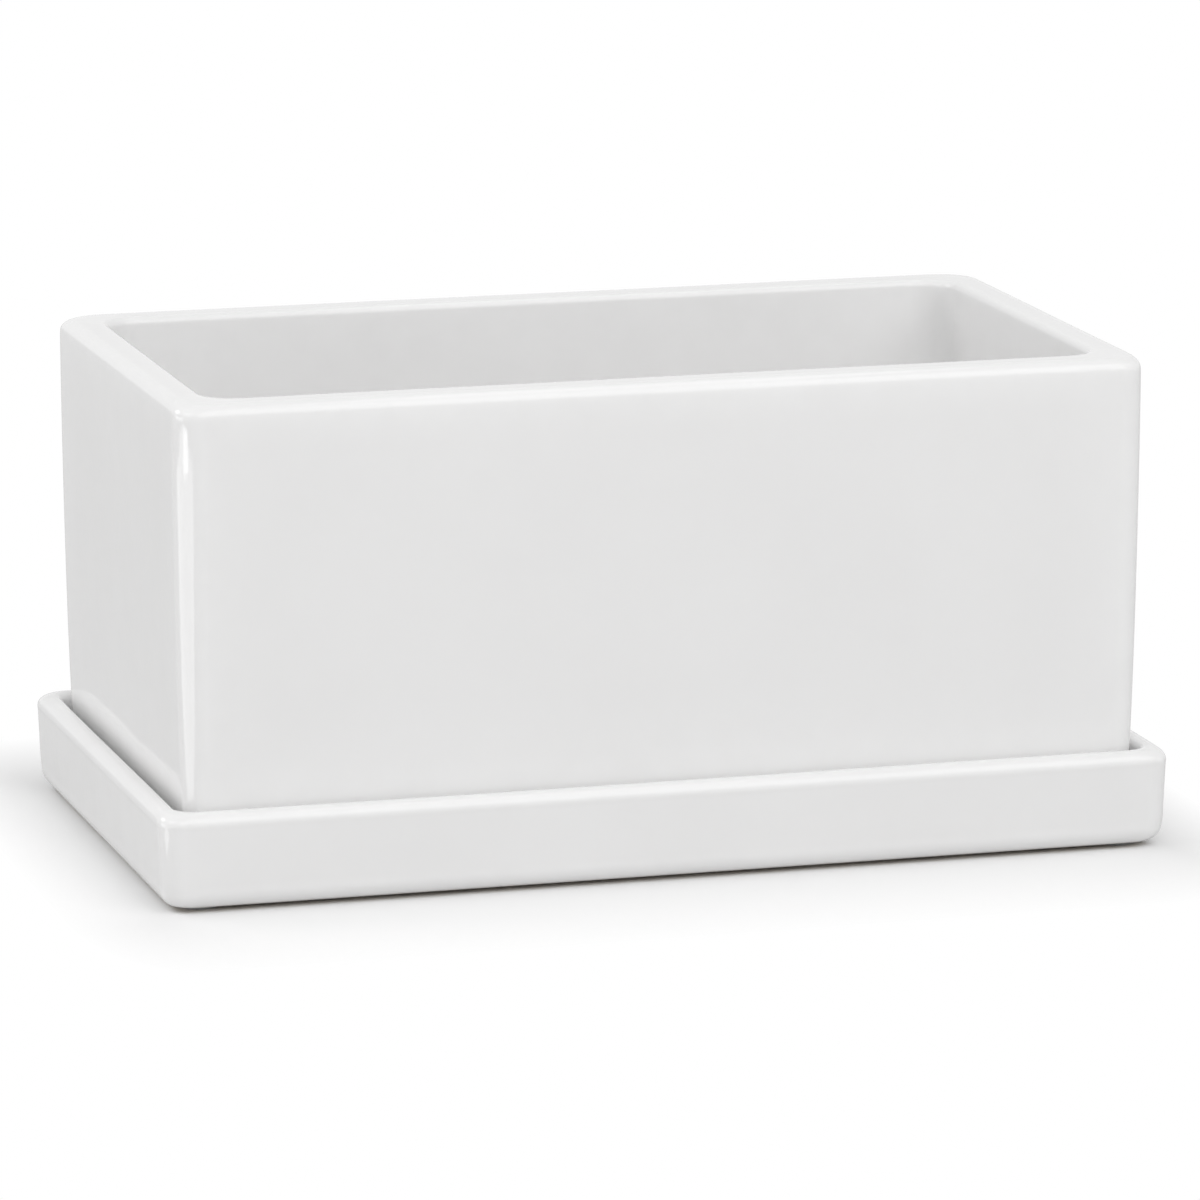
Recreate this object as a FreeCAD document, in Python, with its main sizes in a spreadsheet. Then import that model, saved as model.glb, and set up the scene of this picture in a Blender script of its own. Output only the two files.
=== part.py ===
import FreeCAD, Part
import Sketcher
import math
import os

# Indoor herb planter: a glazed stoneware pot that stands in its own drip tray.
# The pot lifts out of the tray, and a loose square of plastic net lies over each drain hole.
# Frame: +Z up, +X along the long side, origin on the table under the middle of the tray.

doc = FreeCAD.newDocument("herb_planter")

# Driving dimensions in millimetres: alias, value, meaning
SIZES = [
    ("pot_length", 254.0, "pot outside, along X at the rim"),
    ("pot_width", 142.0, "pot outside, along Y at the rim"),
    ("pot_height", 121.0, "pot alone, foot to rim"),
    ("pot_corner", 7.0, "radius of the pot's upright corners at the rim"),
    ("pot_wall", 10.5, "wall thickness at the rim"),
    ("pot_floor", 8.0, "foot plane to the top of the pot's floor"),
    ("pot_base_inset", 2.0, "how far each side has leaned in at the foot"),
    ("pot_rim_round", 2.6, "rounding of both rim edges"),
    ("pot_base_bevel", 2.2, "bevel of the pot's bottom edge"),
    ("cavity_corner", 10.0, "radius of the upright corners inside, at the rim"),
    ("cavity_draft", 2.0, "how far each inner wall has leaned in at the floor"),
    ("cavity_floor_round", 6.0, "rounding between inner walls and floor"),
    ("foot_width", 8.0, "width of the pot's dry foot ring"),
    ("foot_recess", 2.5, "depth of the hollow inside the foot ring"),
    ("foot_corner", 5.0, "corner radius of that hollow"),
    ("weep_width", 16.0, "width of a weep notch through the foot ring"),
    ("weep_spacing", 120.0, "distance between the weep notches of one side"),
    ("drain_diameter", 12.0, "drain hole in the pot's floor"),
    ("drain_spacing", 70.0, "distance between drain holes"),
    ("drain_bevel", 1.5, "slope that leads water into a drain hole"),
    ("tray_end_gap", 2.5, "pot's foot to the tray's inner side at the two ends, at the tray's rim"),
    ("tray_side_gap", 1.5, "the same along the two long sides"),
    ("tray_wall", 6.0, "wall thickness of the tray at its rim"),
    ("tray_height", 25.0, "tray alone, underside to rim"),
    ("tray_floor", 6.0, "thickness of the tray's floor"),
    ("tray_corner", 6.0, "radius of the tray's upright corners at the rim"),
    ("tray_inner_corner", 4.5, "radius of the upright corners inside the tray"),
    ("tray_base_inset", 1.0, "how far each outer side has leaned in at the base"),
    ("tray_inner_draft", 0.8, "how far each inner side has leaned in at the floor"),
    ("tray_rim_round", 2.3, "rounding of both tray rim edges"),
    ("tray_base_round", 3.4, "rounding of the tray's bottom edge"),
    ("tray_floor_round", 2.0, "rounding between the tray's inner sides and floor"),
    ("tray_foot_width", 16.0, "width of the flat ring under the tray"),
    ("tray_foot_recess", 1.2, "depth of the hollow inside that ring"),
    ("tray_foot_corner", 6.0, "corner radius of that hollow"),
    ("pad_diameter", 10.0, "stick-on pad under the tray"),
    ("pad_height", 1.0, "thickness of a pad"),
    ("pad_edge_distance", 12.0, "pad centre to the tray's sides"),
    ("screen_pitch", 5.0, "net square over each drain hole: from one bar to the next"),
    ("screen_bar", 1.2, "width of a net bar"),
    ("screen_thickness", 1.2, "height of a net bar"),
    ("cut_overrun", 1.0, "how far a cutter runs past the surface that it opens"),
]
DRAIN_HOLES = 3  # in a row along X, each with its own screen
SCREEN_MESHES = 6  # openings each way in a net square, with a bar on both sides of each
WEEP_NOTCHES = 2  # in each long side of the foot ring
SAME_PLACE = 1e-6  # two measures this close count as equal

sheet = doc.addObject("Spreadsheet::Sheet", "sizes")
for row, (alias, value, meaning) in enumerate(SIZES, start=1):
    sheet.set(f"A{row}", meaning)
    sheet.set(f"B{row}", str(value))
    sheet.setAlias(f"B{row}", alias)
doc.recompute()


def cells(*aliases):
    """Cells of the sheet, the way an expression in another object names them."""
    return [f"sizes.{alias}" for alias in aliases]


def cell(alias):
    return cells(alias)[0]


def value_of(expression):
    """The number that an expression over the sheet gives now."""
    return float(sheet.evalExpression(expression.replace("sizes.", "")))


# Measures that more than one piece follows, as expressions over the sheet
POT_SEAT = f"({cell('pad_height')} + {cell('tray_floor')})"
TRAY_LENGTH = (f"({cell('pot_length')} - 2 * {cell('pot_base_inset')}"
               f" + 2 * {cell('tray_end_gap')} + 2 * {cell('tray_wall')})")
TRAY_WIDTH = (f"({cell('pot_width')} - 2 * {cell('pot_base_inset')}"
              f" + 2 * {cell('tray_side_gap')} + 2 * {cell('tray_wall')})")
DRAIN_SPAN = f"({DRAIN_HOLES - 1} * {cell('drain_spacing')})"


def new_body(label):
    """An empty body whose label names its file."""
    body = doc.addObject("PartDesign::Body", label)
    body.Label = label
    return body


def origin_feature(body, role):
    return next(f for f in body.Origin.OriginFeatures if f.Role == role)


def new_sketch(body, name, height="0"):
    """A sketch on the body's own XY plane, raised by an expression."""
    sketch = body.newObject("Sketcher::SketchObject", f"{body.Name}_{name}")
    sketch.AttachmentSupport = (origin_feature(body, "XY_Plane"), [""])
    sketch.MapMode = "FlatFace"
    if height != "0":
        sketch.setExpression("AttachmentOffset.Base.z", height)
    return sketch


def bind(sketch, constraint, name, expression):
    """Adds a dimension to a sketch, names it and ties it to the sheet."""
    index = sketch.addConstraint(constraint)
    sketch.renameConstraint(index, name)
    sketch.setExpression(f"Constraints.{name}", expression)


def add_rounded_rectangle(sketch, length, width, corner):
    """A rectangle about the sketch's origin whose four corners are tangent arcs."""
    r = value_of(corner)
    half_x = value_of(length) / 2
    half_y = value_of(width) / 2
    x, y = half_x - r, half_y - r
    sides = [((-x, -half_y), (x, -half_y)), ((half_x, -y), (half_x, y)),
             ((x, half_y), (-x, half_y)), ((-half_x, y), (-half_x, -y))]
    centres = [(x, -y), (x, y), (-x, y), (-x, -y)]
    up = FreeCAD.Vector(0, 0, 1)
    for turn, (start, end) in enumerate(sides):
        sketch.addGeometry(Part.LineSegment(FreeCAD.Vector(*start), FreeCAD.Vector(*end)))
        circle = Part.Circle(FreeCAD.Vector(*centres[turn]), up, r)
        sketch.addGeometry(Part.ArcOfCircle(circle, (turn - 1) * math.pi / 2, turn * math.pi / 2))
    lines = [0, 2, 4, 6]
    arcs = [1, 3, 5, 7]
    for k in range(4):
        sketch.addConstraint(Sketcher.Constraint("Tangent", lines[k], 2, arcs[k], 1))
        sketch.addConstraint(Sketcher.Constraint("Tangent", arcs[k], 2, lines[(k + 1) % 4], 1))
    sketch.addConstraint(Sketcher.Constraint("Horizontal", lines[0]))
    sketch.addConstraint(Sketcher.Constraint("Vertical", lines[1]))
    for k in range(1, 4):
        sketch.addConstraint(Sketcher.Constraint("Equal", arcs[0], arcs[k]))
    sketch.addConstraint(Sketcher.Constraint("Symmetric", arcs[0], 3, arcs[2], 3, -1, 1))
    bind(sketch, Sketcher.Constraint("Radius", arcs[0], r), "corner", corner)
    bind(sketch, Sketcher.Constraint("DistanceX", lines[2], 2, lines[2], 1, 2 * x), "straight_x",
         f"{length} - 2 * {corner}")
    bind(sketch, Sketcher.Constraint("DistanceY", lines[1], 1, lines[1], 2, 2 * y), "straight_y",
         f"{width} - 2 * {corner}")


def add_circle(sketch, name, diameter, centre_x="0"):
    """A circle whose centre lies on the sketch's X axis."""
    d = value_of(diameter)
    x = value_of(centre_x)
    circle = sketch.addGeometry(Part.Circle(FreeCAD.Vector(x, 0), FreeCAD.Vector(0, 0, 1), d / 2))
    bind(sketch, Sketcher.Constraint("Diameter", circle, d), f"{name}_diameter", diameter)
    if centre_x == "0":
        sketch.addConstraint(Sketcher.Constraint("Coincident", circle, 3, -1, 1))
    else:
        sketch.addConstraint(Sketcher.Constraint("PointOnObject", circle, 3, -1))
        bind(sketch, Sketcher.Constraint("DistanceX", -1, 1, circle, 3, x), f"{name}_x", centre_x)


def add_rectangle(sketch, length, width, centre_x="0", centre_y="0"):
    """A plain rectangle about the given point."""
    x, y = value_of(centre_x), value_of(centre_y)
    half_x, half_y = value_of(length) / 2, value_of(width) / 2
    corners = [FreeCAD.Vector(x + i * half_x, y + j * half_y)
               for i, j in ((-1, -1), (1, -1), (1, 1), (-1, 1))]
    for k in range(4):
        sketch.addGeometry(Part.LineSegment(corners[k], corners[(k + 1) % 4]))
    for k in range(4):
        sketch.addConstraint(Sketcher.Constraint("Coincident", k, 2, (k + 1) % 4, 1))
        sketch.addConstraint(Sketcher.Constraint("Vertical" if k % 2 else "Horizontal", k))
    bind(sketch, Sketcher.Constraint("DistanceX", 0, 1, 0, 2, 2 * half_x), "length", length)
    bind(sketch, Sketcher.Constraint("DistanceY", 1, 1, 1, 2, 2 * half_y), "width", width)
    bind(sketch, Sketcher.Constraint("DistanceX", -1, 1, 0, 1, x - half_x), "left",
         f"{centre_x} - {length} / 2")
    bind(sketch, Sketcher.Constraint("DistanceY", -1, 1, 0, 1, y - half_y), "near",
         f"{centre_y} - {width} / 2")


def pad(body, name, sketch, length, down=False, lean=None):
    """A pad of the sketch; lean is how far its sides have moved in at the far end."""
    feature = body.newObject("PartDesign::Pad", f"{body.Name}_{name}")
    feature.Profile = sketch
    feature.Reversed = down
    feature.setExpression("Length", length)
    if lean:
        feature.setExpression("TaperAngle", f"-atan({lean} / {length})")
    doc.recompute()
    return feature


def pocket(body, name, sketch, depth, up=False, lean=None):
    """A cut that starts at the sketch; it stops the build if it misses the solid."""
    before = body.Shape.Volume
    feature = body.newObject("PartDesign::Pocket", f"{body.Name}_{name}")
    feature.Profile = sketch
    feature.Reversed = up
    feature.setExpression("Length", depth)
    if lean:
        feature.setExpression("TaperAngle", f"-atan({lean} / {depth})")
    doc.recompute()
    if not feature.Shape.Volume < before:
        raise ValueError(f"{feature.Name} cuts nothing")
    return feature


def dress_edges(body, kind, name, size, wanted):
    """A fillet or chamfer on those edges of the body so far that the test picks."""
    base = body.Tip
    picked = [f"Edge{i}" for i, edge in enumerate(base.Shape.Edges, start=1) if wanted(edge)]
    if not picked:
        raise ValueError(f"{name} of {body.Name} finds no edge")
    feature = body.newObject(f"PartDesign::{kind}", f"{body.Name}_{name}")
    feature.Base = (base, picked)
    feature.setExpression("Radius" if kind == "Fillet" else "Size", size)
    doc.recompute()
    return feature


def level_at(expression):
    """A test for edges that lie flat at a height."""
    height = value_of(expression)

    def test(edge):
        low, high = edge.BoundBox.ZMin, edge.BoundBox.ZMax
        return abs(low - height) < SAME_PLACE and abs(high - height) < SAME_PLACE

    return test


def row_of(body, name, feature, axis, span, count):
    """Repeats a feature along one axis of the body, first to last over the span."""
    pattern = body.newObject("PartDesign::LinearPattern", f"{body.Name}_{name}")
    pattern.Originals = [feature]
    pattern.Direction = (origin_feature(body, axis), [""])
    pattern.setExpression("Length", span)
    pattern.Occurrences = count
    body.Tip = pattern
    doc.recompute()
    return pattern


def place(body, **expressions):
    """Puts a finished body where it belongs in the frame."""
    for axis, expression in expressions.items():
        body.setExpression(f"Placement.Base.{axis}", expression)


def make_pot():
    """Cast box: sides that lean in downwards, a drafted cavity and a notched foot ring."""
    body = new_body("pot")
    length, width, height, inset = cells("pot_length", "pot_width", "pot_height", "pot_base_inset")
    wall, floor, draft, overrun = cells("pot_wall", "pot_floor", "cavity_draft", "cut_overrun")
    outside = new_sketch(body, "outside", height)
    add_rounded_rectangle(outside, length, width, cell("pot_corner"))
    pad(body, "block", outside, height, down=True, lean=inset)
    inside = new_sketch(body, "inside", height)
    add_rounded_rectangle(inside, f"({length} - 2 * {wall})", f"({width} - 2 * {wall})",
                          cell("cavity_corner"))
    pocket(body, "cavity", inside, f"({height} - {floor})", lean=draft)
    dress_edges(body, "Fillet", "floor_rounding", cell("cavity_floor_round"), level_at(floor))
    dress_edges(body, "Fillet", "rim_rounding", cell("pot_rim_round"), level_at(height))
    dress_edges(body, "Chamfer", "base_bevel", cell("pot_base_bevel"), level_at("0"))

    recess = cell("foot_recess")
    hollow = new_sketch(body, "hollow")
    ring = f"2 * ({inset} + {cell('foot_width')})"
    add_rounded_rectangle(hollow, f"({length} - {ring})", f"({width} - {ring})", cell("foot_corner"))
    pocket(body, "foot_hollow", hollow, recess, up=True)
    notch = new_sketch(body, "notch")
    notch_span = f"({WEEP_NOTCHES - 1} * {cell('weep_spacing')})"
    add_rectangle(notch, cell("weep_width"), f"({width} + 2 * {overrun})", f"-{notch_span} / 2")
    first_notch = pocket(body, "weep_notch", notch, recess, up=True)
    row_of(body, "weep_notches", first_notch, "X_Axis", notch_span, WEEP_NOTCHES)

    drain = new_sketch(body, "drain")
    add_circle(drain, "drain", cell("drain_diameter"), f"-{DRAIN_SPAN} / 2")
    first_drain = pocket(body, "drain_hole", drain, f"({floor} + {overrun})", up=True)
    row_of(body, "drain_holes", first_drain, "X_Axis", DRAIN_SPAN, DRAIN_HOLES)
    is_on_floor = level_at(floor)
    hole_radius = value_of(cell("drain_diameter")) / 2

    def is_drain_mouth(edge):
        return (is_on_floor(edge) and isinstance(edge.Curve, Part.Circle)
                and abs(edge.Curve.Radius - hole_radius) < SAME_PLACE)

    dress_edges(body, "Chamfer", "drain_bevels", cell("drain_bevel"), is_drain_mouth)
    place(body, z=POT_SEAT)
    return body


def make_tray():
    """Shallow tray with leaning sides, a flat floor and a flat ring underneath."""
    body = new_body("drip_tray")
    height, floor, wall = cells("tray_height", "tray_floor", "tray_wall")
    inset, draft = cells("tray_base_inset", "tray_inner_draft")
    outside = new_sketch(body, "outside", height)
    add_rounded_rectangle(outside, TRAY_LENGTH, TRAY_WIDTH, cell("tray_corner"))
    pad(body, "block", outside, height, down=True, lean=inset)
    inside = new_sketch(body, "inside", height)
    add_rounded_rectangle(inside, f"({TRAY_LENGTH} - 2 * {wall})", f"({TRAY_WIDTH} - 2 * {wall})",
                          cell("tray_inner_corner"))
    pocket(body, "well", inside, f"({height} - {floor})", lean=draft)
    dress_edges(body, "Fillet", "floor_rounding", cell("tray_floor_round"), level_at(floor))
    dress_edges(body, "Fillet", "rim_rounding", cell("tray_rim_round"), level_at(height))
    dress_edges(body, "Fillet", "base_rounding", cell("tray_base_round"), level_at("0"))
    hollow = new_sketch(body, "hollow")
    ring = f"2 * ({inset} + {cell('tray_foot_width')})"
    add_rounded_rectangle(hollow, f"({TRAY_LENGTH} - {ring})", f"({TRAY_WIDTH} - {ring})",
                          cell("tray_foot_corner"))
    pocket(body, "foot_hollow", hollow, cell("tray_foot_recess"), up=True)
    place(body, z=cell("pad_height"))
    return body


def make_pads():
    """Four soft stick-on pads near the corners of the tray's underside."""
    pads = []
    for side, sign_y in (("front", "-1"), ("back", "1")):
        for end, sign_x in (("left", "-1"), ("right", "1")):
            body = new_body(f"tray_pad_{side}_{end}")
            disc = new_sketch(body, "disc")
            add_circle(disc, "disc", cell("pad_diameter"))
            pad(body, "thickness", disc, cell("pad_height"))
            place(body,
                  x=f"{sign_x} * ({TRAY_LENGTH} / 2 - {cell('pad_edge_distance')})",
                  y=f"{sign_y} * ({TRAY_WIDTH} / 2 - {cell('pad_edge_distance')})")
            pads.append(body)
    return pads


def make_screens():
    """Squares of plastic net that lie loose over the drain holes and hold the soil back."""
    screens = []
    pitch, bar, thickness = cells("screen_pitch", "screen_bar", "screen_thickness")
    span = f"({SCREEN_MESHES} * {pitch})"
    reach = f"({span} + {bar})"
    for number, position in enumerate(("left", "centre", "right")):
        body = new_body(f"drain_screen_{position}")
        upright = new_sketch(body, "upright_bar")
        add_rectangle(upright, bar, reach, centre_x=f"-{span} / 2")
        first_bar = pad(body, "first_upright", upright, thickness)
        row_of(body, "uprights", first_bar, "X_Axis", span, SCREEN_MESHES + 1)
        crossing = new_sketch(body, "cross_bar")
        add_rectangle(crossing, reach, bar, centre_y=f"-{span} / 2")
        first_bar = pad(body, "first_crossing", crossing, thickness)
        row_of(body, "crossings", first_bar, "Y_Axis", span, SCREEN_MESHES + 1)
        place(body,
              x=f"{number} * {cell('drain_spacing')} - {DRAIN_SPAN} / 2",
              z=f"{POT_SEAT} + {cell('pot_floor')}")
        screens.append(body)
    return screens


def check(pieces):
    """Stops before anything is written if a feature has failed or a solid is broken."""
    doc.recompute()
    failed = [o.Name for o in doc.Objects if {"Invalid", "Error"} & set(o.State)]
    if failed:
        raise ValueError(f"failed features: {failed}")
    for piece in pieces:
        shape = piece.Shape
        if shape.isNull() or not shape.isValid() or len(shape.Solids) != 1:
            raise ValueError(f"{piece.Label} is not one valid solid")


pieces = [make_pot(), make_tray(), *make_pads(), *make_screens()]
check(pieces)
os.makedirs("parts", exist_ok=True)
for piece in pieces:
    piece.Shape.exportStep(f"parts/{piece.Label}.step")
    box = piece.Shape.optimalBoundingBox()
    print(f"{piece.Label}: {box.XLength:.1f} x {box.YLength:.1f} x {box.ZLength:.1f} mm,"
          f" {piece.Shape.Volume / 1000:.2f} cm3")
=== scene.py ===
# %% [markdown]
# # A herb planter in its drip tray
# On the real object a white glazed stoneware pot stands loose in a matching tray. Under the soil
# three small squares of plastic net cover the drain holes, and four soft pads lift the tray off the
# windowsill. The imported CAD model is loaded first. It fixes every size and place in this lesson,
# and the dressed pieces are built around it.

# %% Load the planter
import math

import bmesh
import bpy
from mathutils import Matrix, Quaternion, Vector, noise


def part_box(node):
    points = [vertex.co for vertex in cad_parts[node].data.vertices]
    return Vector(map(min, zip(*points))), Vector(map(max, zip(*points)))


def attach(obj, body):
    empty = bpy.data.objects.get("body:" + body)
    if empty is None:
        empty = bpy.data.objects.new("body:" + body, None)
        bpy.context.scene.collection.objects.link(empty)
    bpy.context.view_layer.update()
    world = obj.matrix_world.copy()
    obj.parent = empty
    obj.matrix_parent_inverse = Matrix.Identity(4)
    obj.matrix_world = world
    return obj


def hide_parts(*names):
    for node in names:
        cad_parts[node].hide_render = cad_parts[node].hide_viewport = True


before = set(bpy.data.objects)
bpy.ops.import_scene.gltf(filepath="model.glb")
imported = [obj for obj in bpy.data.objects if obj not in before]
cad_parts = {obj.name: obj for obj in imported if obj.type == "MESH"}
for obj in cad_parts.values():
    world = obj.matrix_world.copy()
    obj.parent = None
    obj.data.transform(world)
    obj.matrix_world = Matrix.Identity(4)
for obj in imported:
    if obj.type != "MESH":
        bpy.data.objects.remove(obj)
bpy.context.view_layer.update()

# %% [markdown]
# ## Camera
# A product photographer stands back and uses a long lens, so that the box keeps its upright sides.
# A camera could be turned by hand until the view looks right. Here it is put together from the
# direction it looks in, because three unit vectors, to the right, up and back towards the
# photographer, are the three columns of the camera's matrix.

# %% Point the camera
VIEW_TURN = math.radians(16.226)  # to the left of straight in front
VIEW_LIFT = math.radians(11.814)  # above the table
VIEW_DISTANCE = 2.0056  # m
AIM = Vector((0.0, 0.0, 0.0635))  # half way up the pot
AIM_RIGHT = 0.00178  # m that the camera is moved sideways
AIM_UP = -0.00546
LENS = 230.81  # mm

view_right = Vector((math.cos(VIEW_TURN), -math.sin(VIEW_TURN), 0))
view_back = Vector((-math.sin(VIEW_TURN) * math.cos(VIEW_LIFT),
                    -math.cos(VIEW_TURN) * math.cos(VIEW_LIFT), math.sin(VIEW_LIFT)))
view_up = view_back.cross(view_right)
spot = AIM + view_right * AIM_RIGHT + view_up * AIM_UP + view_back * VIEW_DISTANCE

camera = bpy.data.objects.new("camera", bpy.data.cameras.new("camera"))
camera.matrix_world = Matrix((view_right, view_up, view_back)).transposed().to_4x4()
camera.location = spot
camera.data.lens = LENS
camera.data.clip_end = 50
bpy.context.scene.collection.objects.link(camera)
bpy.context.scene.camera = camera
print("camera", round(spot.length, 2), "m from the middle of the tray")

# %% [markdown]
# ## Small helpers for node materials
# A node material is a graph: a node's outputs feed the inputs of the next. Written out in full,
# each node takes four or five lines, so one helper adds a node, sets the inputs that have a plain
# value and links those that are given as another node's output.


# %% Helper: add a node
def add_node(tree, kind, settings=None, **inputs):
    """A node of that kind. An input is named with _ for a space, or in0, in1 for its number."""
    node = tree.nodes.new("ShaderNode" + kind)
    for name, value in (settings or {}).items():
        setattr(node, name, value)
    for name, value in inputs.items():
        numbered = name[2:].isdigit() and name.startswith("in")
        socket = node.inputs[int(name[2:]) if numbered else name.replace("_", " ")]
        if isinstance(value, bpy.types.NodeSocket):
            tree.links.new(value, socket)
        else:
            socket.default_value = value
    return node


def empty_tree(owner):
    """The cleared node tree of a material or world."""
    owner.use_nodes = True
    owner.node_tree.nodes.clear()
    return owner.node_tree


# %% [markdown]
# ## White table and backdrop
# The planter stands on white, with only a soft shadow to say that it stands on something. If the
# table were simply lit until it turned white, the same light would wash out the glaze. So the
# lighting stays plain, and the Light Path node tells the rays that look at the table from those
# that carry light: what looks at it, straight or in a reflection, sees it white, and what bounces
# off it meets an ordinary pale table. Close to the tray the table stays a real surface, so that it
# keeps the shadow, and it fades into white sooner beside the tray than in front of it. In a
# reflection the table is a little greyer than to the eye, since glaze that mirrors pure white on
# all sides shows no edges.


# %% Helper: which rays look at a surface
def add_looking_rays(tree):
    """The output that is 1 for camera rays, and the one that is 1 for mirror and glass rays."""
    path = add_node(tree, "LightPath")
    mirror_or_glass = add_node(tree, "Math", {"operation": "MAXIMUM"},
                               in0=path.outputs["Is Glossy Ray"],
                               in1=path.outputs["Is Transmission Ray"])
    return path.outputs["Is Camera Ray"], mirror_or_glass.outputs[0]


# %% The room's light
ROOM_LIGHT = 0.48  # even light from all round, where 1 would show as white
MIRRORED = 0.97  # the white that the glaze reflects
TABLE_MIRRORED = 0.62

world = bpy.data.worlds.new("white_room")
bpy.context.scene.world = world
tree = empty_tree(world)
looked_at, mirrored = add_looking_rays(tree)
light = add_node(tree, "Background", Color=(1, 1, 1, 1), Strength=ROOM_LIGHT)
walls = add_node(tree, "Background", Color=(1, 1, 1, 1), Strength=MIRRORED)
backdrop = add_node(tree, "Background", Color=(1, 1, 1, 1), Strength=1.0)
around = add_node(tree, "MixShader", in0=mirrored, in1=light.outputs[0], in2=walls.outputs[0])
shown = add_node(tree, "MixShader", in0=looked_at, in1=around.outputs[0],
                 in2=backdrop.outputs[0])
add_node(tree, "OutputWorld", Surface=shown.outputs[0])
print("room light", ROOM_LIGHT)

# %% The table's finish
TABLE_PALE = 0.80  # what bounced light meets
TABLE_SEEN = 0.97
SHADOW_REACH = (0.024, 0.055)  # metres beside the tray and in front of it, to pure white
tray_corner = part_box("drip_tray")[1]

table_finish = bpy.data.materials.new("white_table")
tree = empty_tree(table_finish)
looked_at, mirrored = add_looking_rays(tree)
place = add_node(tree, "NewGeometry")
to_side = add_node(tree, "VectorMath", {"operation": "ABSOLUTE"}, in0=place.outputs["Position"])
past_tray = add_node(tree, "VectorMath", {"operation": "SUBTRACT"}, in0=to_side.outputs[0],
                     in1=(tray_corner.x, tray_corner.y, 1))
outside = add_node(tree, "VectorMath", {"operation": "MAXIMUM"}, in0=past_tray.outputs[0],
                   in1=(0, 0, 0))
faded = add_node(tree, "VectorMath", {"operation": "DIVIDE"}, in0=outside.outputs[0],
                 in1=(*SHADOW_REACH, 1))
from_tray = add_node(tree, "VectorMath", {"operation": "LENGTH"}, in0=faded.outputs[0])
away = add_node(tree, "MapRange", Value=from_tray.outputs["Value"])
paint = add_node(tree, "MapRange", Value=looked_at, To_Min=TABLE_PALE, To_Max=TABLE_SEEN)
matte = add_node(tree, "BsdfDiffuse", Color=paint.outputs[0])
white_level = add_node(tree, "MapRange", Value=looked_at, To_Min=TABLE_MIRRORED, To_Max=1.0)
white = add_node(tree, "Emission", Strength=white_level.outputs[0])
seen = add_node(tree, "Math", {"operation": "MAXIMUM"}, in0=looked_at, in1=mirrored)
far_and_seen = add_node(tree, "Math", {"operation": "MULTIPLY"}, in0=seen.outputs[0],
                        in1=away.outputs[0])
shown = add_node(tree, "MixShader", in0=far_and_seen.outputs[0], in1=matte.outputs[0],
                 in2=white.outputs[0])
add_node(tree, "OutputMaterial", Surface=shown.outputs[0])

# %% The table
TABLE_HALF = 6.0

table_mesh = bpy.data.meshes.new("table")
corners = [(-TABLE_HALF, -TABLE_HALF, 0), (TABLE_HALF, -TABLE_HALF, 0),
           (TABLE_HALF, TABLE_HALF, 0), (-TABLE_HALF, TABLE_HALF, 0)]
table_mesh.from_pydata(corners, [], [(0, 1, 2, 3)])
table_mesh.materials.append(table_finish)
table = bpy.data.objects.new("table", table_mesh)
bpy.context.scene.collection.objects.link(table)
print("table", 2 * TABLE_HALF, "m square")

# %% [markdown]
# ## Lamps
# White glaze is drawn by its highlights: a thin bright line along each rounded edge. A point lamp
# would leave dots, and a bare sky no lines at all, so soft boxes add to the even room light. A
# large one in front lights the long side, and a narrow one overhead draws the lines along the
# rims. Three on the left keep the short side from going grey. Two glowing cards lie beside the tray
# and show in the gloss alone. They draw the upright line on the corner between those two sides.


# %% Helper: a soft box
def add_soft_box(name, place, aim, width, height, power, turn=0, only_gloss=False):
    """A rectangular lamp that faces the point it aims at, and may show in the gloss alone."""
    lamp = bpy.data.lights.new(name, "AREA")
    lamp.shape = "RECTANGLE"
    lamp.size = width
    lamp.size_y = height
    lamp.energy = power
    box = bpy.data.objects.new(name, lamp)
    box.location = place
    box.visible_camera = False
    box.visible_diffuse = not only_gloss
    box.rotation_mode = "QUATERNION"
    facing = (Vector(place) - Vector(aim)).to_track_quat("Z", "Y")
    box.rotation_quaternion = Quaternion((0, 0, 1), math.radians(turn)) @ facing
    bpy.context.scene.collection.objects.link(box)
    print(name, "at", place, "with", power, "W")


# %% The lamps
SOFT_BOXES = [  # name, place, the point it faces, width, height, watts
    ("front_soft_box", (0.27, -1.03, 0.93), (0, 0, 0.1), 1.7, 1.1, 8.1),
    ("top_soft_box", (0.36, -0.05, 1.40), (0, 0, 0.1), 0.9, 0.24, 0.8),
    ("left_soft_box", (-0.9, -0.25, 1.05), (0, 0, 0.08), 0.7, 0.6, 1.8),
    ("back_left_soft_box", (-1.0, 0.7, 0.80), (0, 0, 0.08), 0.6, 0.5, 2.4),
    ("low_left_soft_box", (-0.95, 0.10, 0.13), (0, 0, 0.07), 0.6, 0.2, 0.75),
]
CARDS = [  # name, place, width, height, watts, turn; each lies on the table and faces straight up
    ("white_card", (-0.54, -0.137, 0.001), 0.52, 0.52, 1.75, 55),
    ("bright_card", (-0.684, -0.252, 0.002), 0.12, 0.22, 0.27, 18),
]

for name, place, aim, width, height, power in SOFT_BOXES:
    add_soft_box(name, place, aim, width, height, power)
for name, place, width, height, power, turn in CARDS:
    add_soft_box(name, place, (place[0], place[1], 1), width, height, power, turn, only_gloss=True)
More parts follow.
